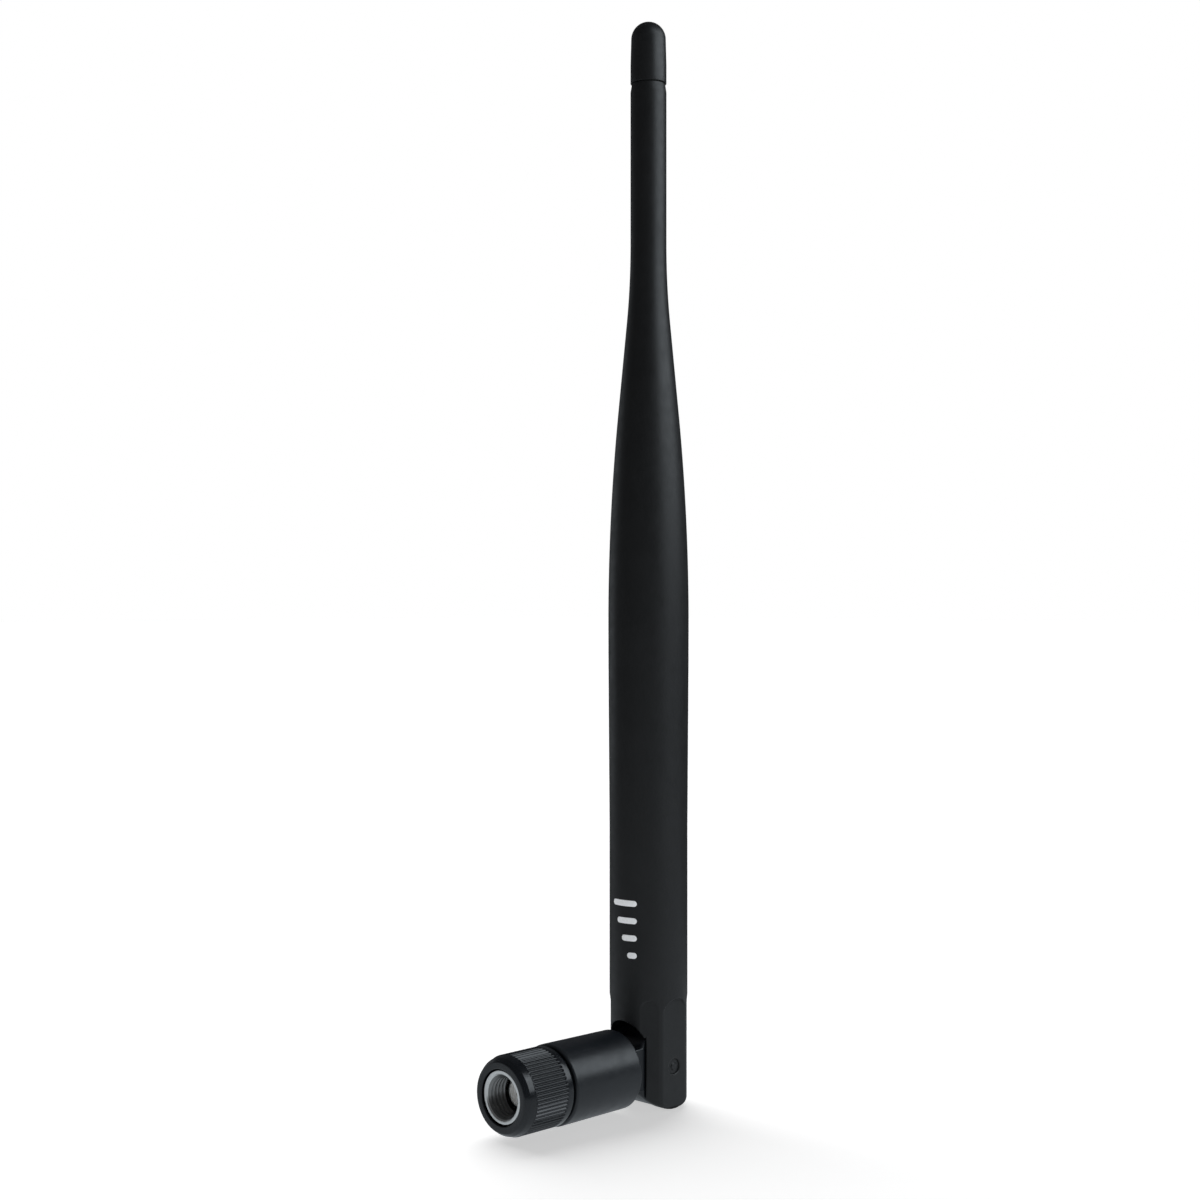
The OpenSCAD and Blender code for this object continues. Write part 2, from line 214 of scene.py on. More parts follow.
def revolve(name, outline, around=128, swell=None, about_y=False):
    """A solid of revolution from a closed outline of (radius, height), drawn in either sense.
    swell(angle, radius, height) gives the radius where it changes around the axis."""
    outline = np.array(outline)
    area = np.sum(outline[:, 0] * np.roll(outline[:, 1], -1) - np.roll(outline[:, 0], -1) * outline[:, 1])
    if area < 0:
        outline = outline[::-1]
    turns = np.linspace(0, 2 * math.pi, around, endpoint=False)
    points, rows = [], []
    for r, h in outline:
        if r < 1e-6:
            rows.append([len(points)] * around)
            points.append((0, 0, h))
            continue
        radii = np.full(around, r) if swell is None else swell(turns, r, h)
        rows.append(list(range(len(points), len(points) + around)))
        points += [(q * math.cos(t), q * math.sin(t), h) for q, t in zip(radii, turns)]
    faces = []
    for i in range(len(rows)):
        low, high = rows[i], rows[(i + 1) % len(rows)]
        if low[0] == low[1] and high[0] == high[1]:
            continue
        for k in range(around):
            m = (k + 1) % around
            quad = [low[k], low[m], high[m], high[k]]
            faces.append([v for j, v in enumerate(quad) if v != quad[j - 1]])
    points = np.array(points)
    if about_y:
        points = np.stack([points[:, 0], points[:, 2], -points[:, 1]], axis=1)
    return make(name, points, faces)


def on_mast(obj):
    """Moves a mesh drawn about the hinge to its place."""
    obj.data.transform(Matrix.Translation((0, HINGE_Y * MM, 0)))
    return obj


# Signed fields: negative inside. Joins and cuts carry a true fillet of the given radius.

def cut_off(a, b, r):
    """Where both a and b hold, with rounded edges."""
    u, v = np.maximum(a + r, 0), np.maximum(b + r, 0)
    return np.minimum(np.maximum(a, b), -r) + np.sqrt(u * u + v * v)


def remove(a, b, r):
    """Where a holds and b does not, with rounded edges."""
    return cut_off(a, -b, r)


def join(a, b, r):
    """Where a or b holds, with a fillet between them."""
    return -cut_off(-a, -b, r)


def block(p, lo, hi):
    """An axis-aligned block; a bound may be None for open."""
    f = None
    for q, low, high in zip(p, lo, hi):
        for side in ([low - q] if low is not None else []) + ([q - high] if high is not None else []):
            f = side if f is None else np.maximum(f, side)
    return f


def rod(a, b, r):
    """An endless cylinder, from its two coordinates across the axis."""
    return np.sqrt(a * a + b * b) - r


def net(field, grid):
    """Surface nets: one point in each grid cell that the surface crosses, joined in quads and
    drawn onto the true surface."""
    xs, ys, zs = grid
    value = field(np.meshgrid(xs, ys, zs, indexing="ij"))
    shape = np.array(value.shape)
    cells = shape - 1
    total = np.zeros((int(np.prod(cells)), 3))
    count = np.zeros(int(np.prod(cells)))
    quads = []
    for axis in range(3):
        first = value.take(range(shape[axis] - 1), axis)
        second = value.take(range(1, shape[axis]), axis)
        at = np.argwhere((first < 0) != (second < 0))
        fa, fb = first[tuple(at.T)], second[tuple(at.T)]
        where = np.stack([g[at[:, i]] for i, g in enumerate(grid)], axis=1)
        along = grid[axis]
        where[:, axis] += (along[at[:, axis] + 1] - along[at[:, axis]]) * fa / (fa - fb)
        u, v = (axis + 1) % 3, (axis + 2) % 3
        ring = []
        for du, dv in ((0, 0), (1, 0), (1, 1), (0, 1)):
            cell = at.copy()
            cell[:, u] -= du
            cell[:, v] -= dv
            flat = np.ravel_multi_index(tuple(cell.T), tuple(cells))
            np.add.at(total, flat, where)
            np.add.at(count, flat, 1)
            ring.append(flat)
        ring = np.stack(ring, axis=1)
        flip = fa > 0
        ring[flip] = ring[flip][:, ::-1]
        quads.append(ring)
    used = np.flatnonzero(count)
    number = np.full(len(count), -1)
    number[used] = np.arange(len(used))
    points = total[used] / count[used][:, None]
    reach = min(np.diff(xs).min(), np.diff(ys).min(), np.diff(zs).min())
    return drawn_onto(field, points, reach), number[np.concatenate(quads)]


def drawn_onto(field, points, reach, passes=5, probe=0.004):
    """Moves points down the field's slope until they lie on its zero surface."""
    points = points.copy()
    for _ in range(passes):
        slope = np.empty_like(points)
        for i in range(3):
            ahead, behind = points.T.copy(), points.T.copy()
            ahead[i] += probe
            behind[i] -= probe
            slope[:, i] = (field(list(ahead)) - field(list(behind))) / (2 * probe)
        step = field(list(points.T)) / np.maximum((slope ** 2).sum(1), 0.2)
        points -= slope * np.clip(step, -reach, reach)[:, None]
    return points


def levels(*stretches):
    """Grid levels: each stretch is (from, to, step)."""
    out = []
    for a, b, step in stretches:
        out.append(np.linspace(a, b, max(2, int(round((b - a) / step)) + 1)))
    return np.unique(np.round(np.concatenate(out), 6))


# ---------------------------------------------------------------- mast

def mast_radius(z):
    """Outer radius of the radome at a height above the hinge."""
    hollow = NECK_R + FLARE_SLOPE * (FLARE_Z[2] - z) ** 2 / (2 * (FLARE_Z[2] - FLARE_Z[1]))
    full = BODY_R - FLARE_SLOPE * (z - WAIST_Z[2]) ** 2 / (2 * (FLARE_Z[0] - WAIST_Z[2]))
    low = np.interp(z, WAIST_Z, [FORK_R, BODY_R - 0.02, BODY_R])
    middle_ends = [BODY_R - FLARE_SLOPE * (FLARE_Z[0] - WAIST_Z[2]) / 2,
                   NECK_R + FLARE_SLOPE * (FLARE_Z[2] - FLARE_Z[1]) / 2]
    middle = np.interp(z, FLARE_Z[:2], middle_ends)
    top = np.interp(z, [SEAM_Z - SEAM_CONE, SEAM_Z], [NECK_R, NECK_R - SEAM_STEP])
    return np.select([z < WAIST_Z[2], z < FLARE_Z[0], z < FLARE_Z[1], z < FLARE_Z[2]],
                     [low, full, middle, hollow], top)


def arched(across, z, half, arch_z):
    """An upright band with a round top, before its depth is given."""
    arch = rod(across, z - arch_z, half)
    return np.where(z > arch_z, arch, np.abs(across) - half)


def radome_field(p):
    """The radome's plastic: shell, heel, flats, slot, cavity, cable hole and pin holes."""
    x, y, z = p
    rho = np.sqrt(x * x + y * y)
    shell = cut_off(rho - mast_radius(z), z - SEAM_Z, 0.08)
    heel = np.where(z < 0, rod(y, z, HEEL_R), np.abs(y) - HEEL_R)
    shell = cut_off(shell, heel, 0.35)
    for turn in (0, 180):
        shell = cut_flat(shell, p, turn, FLAT_X, FLAT_HALF)
    for turn in (45, 135, 225, 315):
        shell = cut_flat(shell, p, turn, CORNER_FLAT, CORNER_HALF)
    room = np.maximum(rod(y, z, POCKET_R), np.abs(x) - SLOT_HALF)
    shell = remove(shell, np.minimum(arched(x, z, SLOT_HALF, SLOT_ARCH_Z), room), 0.22)
    cavity_r = np.interp(z, CAVITY_TOP, [CAVITY_R, NECK_BORE])
    shell = remove(shell, cut_off(rho - cavity_r, CAVITY_FLOOR - z, 0.4), 0.05)
    hole = np.maximum(rho - CABLE_HOLE_R, z - (CAVITY_FLOOR + 1))
    shell = remove(shell, hole, 0.1)
    return remove(shell, np.minimum(rod(y, z, PIN_R),
                                    cone_across(p, FLAT_X - HOLE_CHAMFER, PIN_R)), 0.03)


def cone_across(p, start, r):
    """A chamfer around the hinge axis that opens outwards from x = start."""
    x, y, z = p
    return np.maximum(rod(y, z, 0) - (r + np.abs(x) - start), start - 0.02 - np.abs(x))


def cut_flat(shell, p, turn, depth, half):
    """Cuts a shallow upright flat with an arched top, facing the given way around the mast."""
    x, y, z = p
    c, s = math.cos(math.radians(turn)), math.sin(math.radians(turn))
    out, across = x * c + y * s, y * c - x * s
    cutter = cut_off(arched(across, z, half, FLATS_TOP - half), depth - out, 0.05)
    return remove(shell, cutter, 0.06)


def build_radome():
    fine, coarse = 0.16, 1.0
    span = BODY_R + 0.4
    across = levels((-span, span, fine))
    up = levels((-HEEL_R - 0.4, 11.6, fine), (11.6, 13.4, 0.5), (13.4, 15.5, 2 * fine),
                (15.5, SEAM_Z - 2, coarse), (SEAM_Z - 2, SEAM_Z + 0.4, 0.12))
    points, faces = net(radome_field, (across, across, up))
    return on_mast(make("radome_shell", points, faces))


def build_tip_cap():
    dome = [np.array([DOME_R * math.cos(a), SHOULDER_Z + DOME_R * math.sin(a)])
            for a in np.linspace(0, math.pi / 2, 24)]
    dome[-1] = np.array([0.0, TIP_Z])
    skirt = rounded([(0, SEAM_Z - SPIGOT), (NECK_BORE, SEAM_Z - SPIGOT), (NECK_BORE, SEAM_Z),
                     (NECK_R, SEAM_Z), (NECK_R, SEAM_Z + 3), (DOME_R, SHOULDER_Z), (0, SHOULDER_Z)],
                    [0, 0.3, 0, 0.08, 0, 0, 0])[:-2]
    return on_mast(revolve("tip_cap_shell", subdivided(skirt, 0.8, closed=False) + dome, 128))


def build_pin(side):
    """A stub pin, drawn along the hinge axis, with a chamfered end in the cheek's hole."""
    inner, outer = PIN_LO[0], PIN_HI[0]
    dip, boss_r = 0.18, 0.5
    outline = rounded([(0, inner), (PIN_R, inner), (PIN_R, outer - dip), (boss_r + 0.12, outer - dip),
                       (boss_r, outer), (0, outer)], [0, 0.15, 0.05, 0.1, 0.12, 0])
    pin = revolve("hinge_pin_end_" + ("right" if side > 0 else "left"), outline, 64)
    pin.data.transform(Matrix.Rotation(side * math.pi / 2, 4, "Y"))
    return on_mast(pin)


# ---------------------------------------------------------------- swivel arm

def bore(rho, y, r, end):
    """A round hole from the front, up to an end."""
    return np.maximum(rho - r, y - end)


def arm_field(p):
    """The arm's plastic: sleeve, neck bar, knuckle, cable slit, bores with the stop rib, and pin holes."""
    x, y, z = p
    rho = np.sqrt(x * x + z * z)
    yh = y - HINGE_Y
    sleeve = cut_off(rho - np.interp(y, [ARM_FRONT, ARM_END], [ARM_R, ARM_REAR_R]), ARM_FRONT - y, 0.4)
    sleeve = cut_off(sleeve, y - ARM_END, 0.16)
    bar = cut_off(cut_off(np.abs(x) - TONGUE_HALF, np.abs(z) - TONGUE_H, 0.3), yh, 0.05)
    bar = np.maximum(bar, ARM_END - 1 - y)
    knuckle = cut_off(rod(yh, z, KNUCKLE_R), rod(x, yh, FORK_R - KNUCKLE_INSET), 0.5)
    knuckle = cut_off(np.abs(x) - TONGUE_HALF, knuckle, 0.3)
    arm = join(sleeve, np.minimum(bar, knuckle), 0.3)
    slot = block(p, (-CABLE_SLOT, HINGE_Y - BEND_R, -CABLE_SLOT), (CABLE_SLOT, None, None))
    arm = remove(arm, slot, 0.15)
    bores = np.minimum(bore(rho, y, *BUSH_BORE), bore(rho, y, *CABLE_ROOM))
    rib = block(p, (-STOP_HALF, STOP_Y[0], STOP_R), (STOP_HALF, STOP_Y[1], None))
    bores = np.minimum(bores, np.maximum(bore(rho, y, *PLUG_BORE), -rib))
    bores = np.minimum(bores, bore(rho, y, COAX_R + CABLE_PLAY, HINGE_Y - BEND_R + 1))
    arm = remove(arm, bores, 0.12)
    return remove(arm, rod(yh, z, PIN_R + 0.05), 0.08)


def build_arm():
    fine = 0.16
    span = ARM_R + 0.4
    across = levels((-span, span, fine))
    along = levels((ARM_FRONT - 0.4, ARM_HI[1] + 0.4, fine))
    points, faces = net(arm_field, (across, along, across))
    return make("swivel_arm_shell", points, faces)


# ---------------------------------------------------------------- coupling nut and its grip

def build_grip():
    """Axial ribs, each with a round crown and a narrow groove, between a smooth nose and rim."""
    nose_r = GRIP_R - 0.08

    def ribs(turns, r, h):
        if r < nose_r - 0.05 or not KNURL_Y[0] < h < KNURL_Y[1]:
            return np.full(len(turns), r)
        ramp = min(1.0, (h - KNURL_Y[0]) / KNURL_RAMP, (KNURL_Y[1] - h) / KNURL_RAMP)
        groove = (0.5 + 0.5 * np.cos(RIBS * turns)) ** 1.4
        return r - RIB_DEPTH * math.sin(ramp * math.pi / 2) * groove

    front, end = GRIP_LO[1], GRIP_HI[1]
    ramp_rows = np.linspace(0, KNURL_RAMP, 5)
    nose = [(r, front + back) for r, back in GRIP_NOSE]
    outside = rounded([(NUT_HI[0], front), *nose, (nose_r, KNURL_Y[0] - 0.25), (nose_r, KNURL_Y[0] - 0.05)],
                      [0.12, 0.32, 0.5, 0.2, 0])
    outside += [np.array([GRIP_R, KNURL_Y[0] + d]) for d in ramp_rows]
    outside += [np.array([GRIP_R, h]) for h in np.linspace(KNURL_Y[0] + 1, KNURL_Y[1] - 1, 4)]
    outside += [np.array([GRIP_R, KNURL_Y[1] - d]) for d in ramp_rows[::-1]]
    rim = rounded([(GRIP_R, KNURL_Y[1] + 0.05), (GRIP_R, end), (GRIP_SEAT_R, end), (GRIP_SEAT_R, NUT_HI[1]),
                   (NUT_HI[0], NUT_HI[1])], [0, 0.34, 0.12, 0, 0])
    return revolve("nut_grip_shell", outside + rim, RIBS * 10, swell=ribs, about_y=True)


def build_nut():
    """The metal nut, with its right-hand thread cut in full behind a countersunk mouth."""
    mouth, end, r_out = NUT_LO[1], NUT_HI[1], NUT_HI[0]
    sink_r = THREAD_MINOR + (THREAD_FRONT - mouth)

    def thread(turns, r, h):
        if r > THREAD_MINOR + 1e-6:
            return np.full(len(turns), r)
        phase = np.abs(((h / THREAD_PITCH - turns / (2 * math.pi)) % 1) - 0.5) * 2
        cut = THREAD_MINOR + (THREAD_MAJOR - THREAD_MINOR) * np.clip((phase - 0.2) / 0.7, 0, 1)
        return np.maximum(cut, sink_r - (h - mouth))

    mouth_edge = rounded([(sink_r + 0.02, mouth), (r_out, mouth), (r_out, end), (JOURNAL_R, end)],
                         [0, 0.1, 0.1, 0.1])[1:]
    groove_front, groove_end = SNAP_GROOVE_Y
    inside = [(JOURNAL_R, groove_end), (SNAP_GROOVE_R, groove_end), (SNAP_GROOVE_R, groove_front),
              (JOURNAL_R, groove_front), (JOURNAL_R, RELIEF_END), (RELIEF_R, RELIEF_END), (RELIEF_R, 0.0)]
    wall = [(THREAD_MINOR, h) for h in np.linspace(0, mouth + 0.02, 66)]
    outline = [np.array([sink_r + 0.02, mouth])] + mouth_edge + [np.array(q) for q in inside + wall]
    return revolve("coupling_nut_thread", outline, 160, swell=thread, about_y=True)


def build_insulator():
    """The white disc around the socket, dished a little and lightly rounded."""
    front, end = INSULATOR_LO[1], INSULATOR_HI[1]
    r_in, r_out = SOCKET_HI[0], INSULATOR_HI[0]
    outline = rounded([(r_in, front + 0.06), (1.1, front), (r_out, front), (r_out, end), (r_in, end)],
                      [0.04, 0.3, 0.08, 0, 0])
    return revolve("insulator_disc", subdivided(outline, 1.0), 96, about_y=True)


def build_gasket():
    """The rubber washer at the plug's shoulder, with rounded edges."""
    lo, hi = cad("gasket")
    outline = rounded([(PLUG_FERRULE_R, lo[1]), (hi[0], lo[1]), (hi[0], hi[1]), (PLUG_FERRULE_R, hi[1])],
                      0.18)
    return revolve("gasket_ring", outline, 96, about_y=True)


def build_cable_bend():
    """The cable where it crosses the hinge: a quarter turn at rest."""
    steps, sides = 32, 24
    points, faces = [], []
    for i in range(steps + 1):
        a = math.pi / 2 * i / steps
        out = np.array([0, math.sin(a), -math.cos(a)])
        centre = np.array([0, HINGE_Y - BEND_R, BEND_R]) + BEND_R * out
        for k in range(sides):
            t = 2 * math.pi * k / sides
            points.append(centre + COAX_R * (math.cos(t) * out + math.sin(t) * np.array([1, 0, 0])))
    for i in range(steps):
        for k in range(sides):
            m = (k + 1) % sides
            faces.append([i * sides + k, i * sides + m, (i + 1) * sides + m, (i + 1) * sides + k])
    faces.append(list(range(sides))[::-1])
    faces.append([steps * sides + k for k in range(sides)])
    return make("cable_over_hinge", points, faces)


# ---------------------------------------------------------------- printed mark

def build_mark():
    """Four plain rising bars of ink on the side of the mast that faces the arm."""
    bars, first_z, pitch, width = 4, 18.0, 2.75, 0.95
    foot, longest, shortest = -2.9, 4.8, 1.7
    ink = 0.03
    points, faces = [], []
    for i in range(bars):
        length = shortest + (longest - shortest) * i / (bars - 1)
        rows, cols, half = 9, 25, width / 2
        base = len(points)
        for lift in (ink, -ink):
            for r in range(rows):
                dz = half * math.sin(math.pi / 2 * (2 * r / (rows - 1) - 1))
                pull = half - math.sqrt(max(0, half * half - dz * dz))
                z = first_z + i * pitch + dz
                for c in range(cols):
                    s = foot + pull + (length - 2 * pull) * c / (cols - 1)
                    a = -math.pi / 2 - s / FORK_R
                    rho = float(mast_radius(np.array(z))) + lift
                    points.append((rho * math.cos(a), rho * math.sin(a), z))
        faces += ink_faces(base, rows, cols)
    return on_mast(make("printed_bars", points, faces))


def ink_faces(base, rows, cols):
    """Faces of one thin patch of ink: its face, its back and its edge."""
    back = rows * cols
    faces = []
    for r in range(rows - 1):
        for c in range(cols - 1):
            q = base + r * cols + c
            faces.append([q, q + 1, q + cols + 1, q + cols])
            faces.append([back + v for v in (q, q + cols, q + cols + 1, q + 1)])
    edge = [c for c in range(cols)] + [r * cols + cols - 1 for r in range(1, rows)]
    edge += [(rows - 1) * cols + c for c in range(cols - 2, -1, -1)]
    edge += [r * cols for r in range(rows - 2, 0, -1)]
    for a, b in zip(edge, edge[1:] + edge[:1]):
        faces.append([base + b, base + a, base + back + a, base + back + b])
    return faces


# ---------------------------------------------------------------- materials

class Nodes:
    """Short calls for building one material's node tree."""

    def __init__(self, name):
        self.material = bpy.data.materials.new(name)
        self.material.use_nodes = True
        self.tree = self.material.node_tree
        self.shader = self.tree.nodes["Principled BSDF"]
        self.place = self.add("ShaderNodeTexCoord").outputs["Object"]

    def add(self, kind, **values):
        node = self.tree.nodes.new(kind)
        for key, value in values.items():
            if hasattr(node, key):
                setattr(node, key, value)
            else:
                node.inputs[key.replace("_", " ").title()].default_value = value
        return node

    def link(self, source, target):
        self.tree.links.new(source, target)

    def noise(self, size_mm, detail=3.0, stretch=(1, 1, 1)):
        """Noise whose grains are about size_mm across."""
        mapping = self.add("ShaderNodeMapping")
        mapping.inputs["Scale"].default_value = [k / (size_mm * MM) for k in stretch]
        self.link(self.place, mapping.inputs["Vector"])
        noise = self.add("ShaderNodeTexNoise", scale=1.0, detail=detail)
        self.link(mapping.outputs["Vector"], noise.inputs["Vector"])
        return noise.outputs["Fac"]

    def spread(self, source, low, high, start=0.3, end=0.7):
        """A number that runs from low to high over the noise's middle range."""
        node = self.add("ShaderNodeMapRange")
        for key, value in zip(("From Min", "From Max", "To Min", "To Max"), (start, end, low, high)):
            node.inputs[key].default_value = value
        self.link(source, node.inputs["Value"])
        return node.outputs["Result"]

    def blend_colours(self, source, a, b):
        ramp = self.add("ShaderNodeValToRGB")
        ramp.color_ramp.elements[0].position, ramp.color_ramp.elements[1].position = 0.3, 0.7
        ramp.color_ramp.elements[0].color = (*a, 1)
        ramp.color_ramp.elements[1].color = (*b, 1)
        self.link(source, ramp.inputs["Fac"])
        self.link(ramp.outputs["Color"], self.shader.inputs["Base Color"])

    def bump(self, source, depth_mm, under=None):
        node = self.add("ShaderNodeBump")
        node.inputs["Distance"].default_value = depth_mm * MM
        node.inputs["Strength"].default_value = 1.0
        self.link(source, node.inputs["Height"])
        if under is not None:
            self.link(under, node.inputs["Normal"])
        self.link(node.outputs["Normal"], self.shader.inputs["Normal"])
        return node.outputs["Normal"]


def tinted(colour, factor):
    return tuple(c * factor for c in colour)


def moulded_plastic(name, colour, rough, grain_mm=0.09, grain_depth=0.004, spread=0.05):
    """Moulded plastic: fine spark-eroded grain, slow changes of gloss and a trace of tone."""
    n = Nodes(name)
    slow, grain = n.noise(6.0, 4.0), n.noise(grain_mm, 2.0)
    n.blend_colours(slow, tinted(colour, 0.88), tinted(colour, 1.12))
    n.link(n.spread(n.noise(1.6, 5.0), rough - spread, rough + spread), n.shader.inputs["Roughness"])
    under = n.bump(n.noise(4.0, 2.0), 0.01)
    n.bump(grain, grain_depth, under=under)
    n.shader.inputs["Specular IOR Level"].default_value = 0.5
    return n.material


def turned_metal(name, colour, rough, along, wear=0.06):
    """Plated metal with the fine rings that a lathe leaves across its axis."""
    n = Nodes(name)
    squash = {"y": (0.02, 1, 0.02), "z": (0.02, 0.02, 1)}[along]
    rings = n.noise(0.05, 2.0, stretch=squash)
    n.blend_colours(n.noise(0.8, 5.0), tinted(colour, 0.9), tinted(colour, 1.05))
    n.link(n.spread(n.noise(0.35, 6.0), rough - wear, rough + wear), n.shader.inputs["Roughness"])
    n.bump(rings, 0.0015)
    n.shader.inputs["Metallic"].default_value = 1.0
    return n.material


def waxy_white(name, colour, rough):
    n = Nodes(name)
    n.blend_colours(n.noise(0.9, 4.0), tinted(colour, 0.93), colour)
    n.link(n.spread(n.noise(0.5, 4.0), rough - 0.08, rough + 0.08), n.shader.inputs["Roughness"])
    n.bump(n.noise(0.12, 3.0), 0.004)
    n.shader.inputs["Subsurface Weight"].default_value = 0.15
    n.shader.inputs["Subsurface Radius"].default_value = (0.0008, 0.0007, 0.0006)
    return n.material


def foam(name, colour):
    n = Nodes(name)
    cells = n.add("ShaderNodeTexVoronoi")
    cells.inputs["Scale"].default_value = 1 / (0.5 * MM)
    n.link(n.place, cells.inputs["Vector"])
    n.blend_colours(n.noise(1.5), tinted(colour, 0.85), colour)
    n.bump(cells.outputs["Distance"], 0.08)
    n.shader.inputs["Roughness"].default_value = 0.9
    return n.material


def pad_ink(name, colour):
    """White pad-printed ink: slightly uneven cover with a faint orange peel."""
    n = Nodes(name)
    n.blend_colours(n.noise(0.35, 5.0), tinted(colour, 0.9), colour)
    n.link(n.spread(n.noise(0.6, 3.0), 0.42, 0.55), n.shader.inputs["Roughness"])
    n.bump(n.noise(0.16, 3.0), 0.004)
    return n.material


BLACK = (0.0056, 0.0060, 0.0066)
COOL_BLACK = (0.0060, 0.0074, 0.0096)
MATERIALS = {
    "radome": moulded_plastic("radome_plastic", BLACK, 0.46),
    "cap": moulded_plastic("cap_plastic", tinted(BLACK, 1.1), 0.44),
    "arm": moulded_plastic("arm_plastic", tinted(COOL_BLACK, 1.1), 0.36, grain_depth=0.003),
    "grip": moulded_plastic("grip_plastic", tinted(COOL_BLACK, 0.9), 0.22, grain_depth=0.002),
    "pin": moulded_plastic("pin_plastic", tinted(BLACK, 1.3), 0.42),
    "rubber": moulded_plastic("rubber_black", tinted(BLACK, 1.5), 0.7, grain_mm=0.2),
    "jacket": moulded_plastic("coax_jacket", (0.11, 0.05, 0.022), 0.3, grain_mm=0.3),
    "washer": moulded_plastic("washer_plastic", (0.6, 0.6, 0.56), 0.45),
    "nickel": turned_metal("nickel_plate", (0.86, 0.86, 0.85), 0.32, "y"),
    # thread: painted shade, a darkened copy of the nickel for the cut thread inside the nut's bore
    "thread": turned_metal("nickel_thread_painted_shade", (0.27, 0.27, 0.268), 0.34, "y"),
    "gold": turned_metal("gold_plate", (0.83, 0.6, 0.24), 0.25, "y"),
    "brass_z": turned_metal("sleeve_brass", (0.72, 0.53, 0.24), 0.3, "z"),
    "brass_y": turned_metal("bush_brass", (0.72, 0.55, 0.28), 0.3, "y"),
    "copper": turned_metal("radiator_copper", (0.8, 0.42, 0.26), 0.3, "z"),
    "steel": turned_metal("spring_steel", (0.42, 0.42, 0.41), 0.32, "y"),
    "ptfe": waxy_white("white_ptfe", (0.62, 0.62, 0.6), 0.5),
    "foam": foam("holder_foam", (0.75, 0.75, 0.72)),
    "ink": pad_ink("print_ink", (0.88, 0.89, 0.90)),
}


# ---------------------------------------------------------------- assembly

def fit(piece, material, body, slot, *nodes):
    """Gives a piece its material and its body, and hides the CAD nodes that it stands for."""
    piece.data.materials.clear()
    piece.data.materials.append(MATERIALS[material])
    if body is not None:
        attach(piece, body)
    if nodes:
        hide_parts(*nodes)


def paint_thread_shade(nut):
    """Painted shade: the cut thread behind the nut's mouth gets a much darker copy of the nickel than its
    bright ring, standing in for the shade inside the bore.
    """
    margin = 0.15
    nut.data.materials.append(MATERIALS["thread"])
    # Faces inside the bore, behind the mouth, take the darkened copy: painted shade.
    for face in nut.data.polygons:
        x, y, z = face.center / MM
        if math.hypot(x, z) < THREAD_MAJOR + margin and y < 0.1:
            face.material_index = 1


def dress(material, *nodes):
    """Gives carried-over CAD nodes a material."""
    for name in nodes:
        mesh = frame["nodes"][name].data
        mesh.materials.clear()
        mesh.materials.append(MATERIALS[material])


fit(build_radome(), "radome", "mast", "radome_plastic", "radome")
fit(build_tip_cap(), "cap", "mast", "cap_plastic", "tip_cap")
fit(build_pin(1), "pin", "mast", "pin_plastic", "hinge_pin_right")
fit(build_pin(-1), "pin", "mast", "pin_plastic", "hinge_pin_left")
fit(build_mark(), "ink", "mast", "radome_plastic")
fit(build_arm(), "arm", "arm", "arm_plastic", "swivel_arm")
fit(build_grip(), "grip", "nut", "grip_plastic", "nut_grip")
nut = build_nut()
fit(nut, "nickel", "nut", "nickel_plate", "coupling_nut")
paint_thread_shade(nut)
fit(build_insulator(), "ptfe", "connector", "white_ptfe", "insulator")
fit(build_gasket(), "rubber", "connector", "gasket_rubber", "gasket")

cable_bend = build_cable_bend()
fit(cable_bend, "jacket", None, "coax_jacket", "coax_bend")
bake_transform(cable_bend)

dress("nickel", "connector_body", "crimp_sleeve")
dress("gold", "centre_socket")
dress("steel", "retaining_clip", "nut_snap_ring")
dress("brass_y", "swivel_bush")
dress("washer", "swivel_washer")
dress("rubber", "friction_ring", "cable_bush", "heat_shrink")
dress("jacket", "coax_arm", "coax_mast")
dress("brass_z", "choke_sleeve")
dress("copper", "radiator_wire")
dress("ptfe", "sleeve_spacer", "feed_bead", "wire_spacer")
dress("foam", "sleeve_holder")


# ---------------------------------------------------------------- stage, light and camera

VIEW_AZIMUTH = math.radians(45)
FLOOR_GAP = 0.05
COOL_LIGHT = (0.86, 0.94, 1.0)


def seen(right, away, up):
    """A place given from the camera's side: right, away from it and up from the hinge axis."""
    c, s = math.cos(VIEW_AZIMUTH), math.sin(VIEW_AZIMUTH)
    return Vector((c * right - s * away, HINGE_Y * MM + s * right + c * away, up))


def build_floor():
    """A plain pale floor just under the mast's foot, in metres. From below it is clear, because the
    swivel's limits hang the mast under it."""
    size, z = 6.0, (-HEEL_R - FLOOR_GAP) * MM
    mesh = bpy.data.meshes.new("floor")
    corners = [(-size, -size, z), (size, -size, z), (size, size, z), (-size, size, z)]
    mesh.from_pydata(corners, [], [(0, 1, 2, 3)])
    floor = bpy.data.objects.new("floor", mesh)
    bpy.context.scene.collection.objects.link(floor)
    n = Nodes("floor_pale")
    n.blend_colours(n.noise(400.0), (0.86, 0.86, 0.86), (0.88, 0.88, 0.88))
    n.shader.inputs["Roughness"].default_value = 0.8
    n.shader.inputs["Specular IOR Level"].default_value = 0.1
    n.shader.inputs["Emission Color"].default_value = (1, 1, 1, 1)
    n.shader.inputs["Emission Strength"].default_value = 0.54
    side = n.add("ShaderNodeNewGeometry").outputs["Backfacing"]
    one_sided = n.add("ShaderNodeMixShader")
    n.link(side, one_sided.inputs[0])
    n.link(n.shader.outputs[0], one_sided.inputs[1])
    n.link(n.add("ShaderNodeBsdfTransparent").outputs[0], one_sided.inputs[2])
    n.link(one_sided.outputs[0], n.tree.nodes["Material Output"].inputs["Surface"])
    mesh.materials.append(n.material)
    floor.visible_glossy = False
    return floor


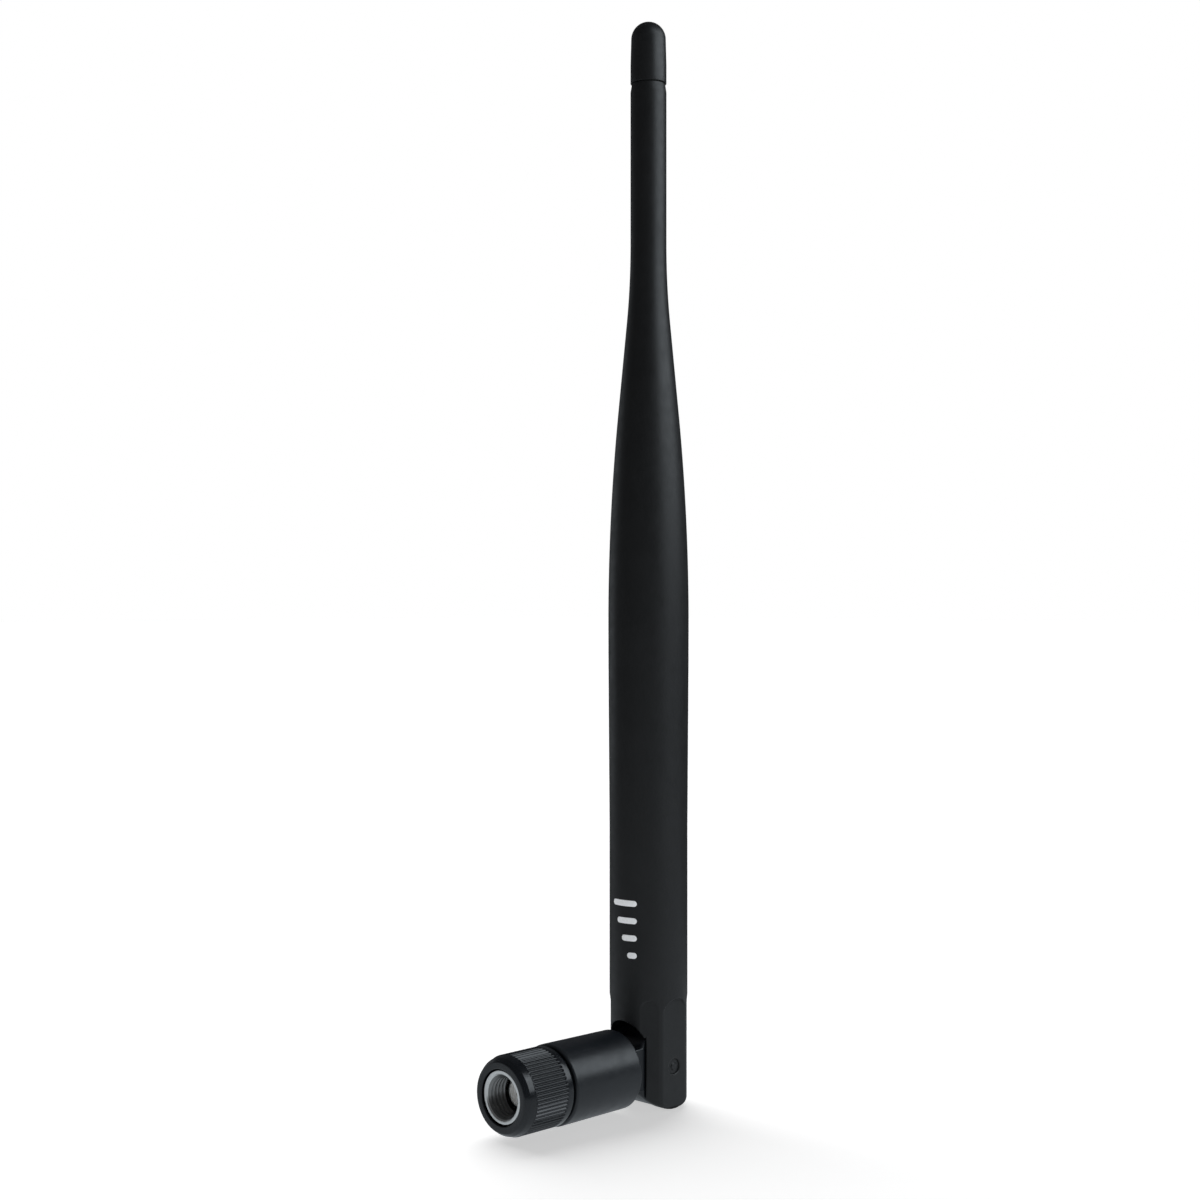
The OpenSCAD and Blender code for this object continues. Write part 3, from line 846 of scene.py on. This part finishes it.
def area_light(name, place, target, size, power):
    """A soft box of slightly cool light, turned to its target."""
    data = bpy.data.lights.new(name, "AREA")
    data.shape = "RECTANGLE"
    data.size, data.size_y = size
    data.energy = power
    data.color = COOL_LIGHT
    light = bpy.data.objects.new(name, data)
    bpy.context.scene.collection.objects.link(light)
    light.location = place
    light.rotation_euler = (target - place).to_track_quat("-Z", "Y").to_euler()
    light.visible_camera = False
    return light


def keep_off(surface, light):
    """The light brightens everything except this surface."""
    spared = bpy.data.collections.new("spared_" + light.name)
    spared.objects.link(surface)
    spared.collection_objects[0].light_linking.link_state = "EXCLUDE"
    light.light_linking.receiver_collection = spared


def build_lights(floor):
    """Key light from the right, two small helpers, a card under the object and a broad overhead."""
    middle = seen(0, 0, 0.05)
    key = area_light("key_right", seen(0.50, -0.12, 0.36), middle, (0.66, 0.40), 2.2)
    high = area_light("key_high", seen(0.36, -0.30, 0.66), middle, (0.24, 0.24), 0.45)
    rim = area_light("rim_back", seen(-0.50, 0.42, 0.10), middle, (0.4, 0.3), 0.17)
    for light in (key, high, rim):
        keep_off(floor, light)
    card = area_light("bounce_card", seen(0.05, -0.11, -0.0066), middle, (0.45, 0.36), 0.215)
    card.rotation_euler = (math.pi, 0, VIEW_AZIMUTH)
    sky = bpy.data.lights.new("overhead", "SUN")
    sky.energy = 2.65
    sky.angle = math.radians(62)
    overhead = bpy.data.objects.new("overhead", sky)
    bpy.context.scene.collection.objects.link(overhead)
    overhead.location = seen(-0.25, 1.1, 1)
    overhead.rotation_euler = (seen(0, 0, 0) - overhead.location).to_track_quat("-Z", "Y").to_euler()
    overhead.visible_glossy = False


def build_world():
    """White behind the object; a dim, even room for its light and reflections."""
    world = bpy.data.worlds.new("studio")
    bpy.context.scene.world = world
    world.use_nodes = True
    tree = world.node_tree
    room = tree.nodes["Background"]
    room.inputs["Color"].default_value = (0.95, 0.97, 1.0, 1)
    room.inputs["Strength"].default_value = 0.065
    white = tree.nodes.new("ShaderNodeBackground")
    white.inputs["Color"].default_value = (1, 1, 1, 1)
    mix = tree.nodes.new("ShaderNodeMixShader")
    path = tree.nodes.new("ShaderNodeLightPath")
    tree.links.new(path.outputs["Is Camera Ray"], mix.inputs["Fac"])
    tree.links.new(room.outputs["Background"], mix.inputs[1])
    tree.links.new(white.outputs["Background"], mix.inputs[2])
    tree.links.new(mix.outputs["Shader"], tree.nodes["World Output"].inputs["Surface"])


def build_camera():
    """Level camera that looks at the mast from the side of the arm's mouth."""
    data = bpy.data.cameras.new("camera")
    data.sensor_width = 36.0
    data.lens = 55.5
    data.clip_start = 0.01
    camera = bpy.data.objects.new("camera", data)
    bpy.context.scene.collection.objects.link(camera)
    camera.location = seen(-0.00785, -0.2995, 0.0745)
    camera.rotation_euler = (math.pi / 2, 0, VIEW_AZIMUTH)
    bpy.context.scene.camera = camera


build_lights(build_floor())
build_world()
build_camera()
bpy.context.scene.view_settings.view_transform = "Standard"
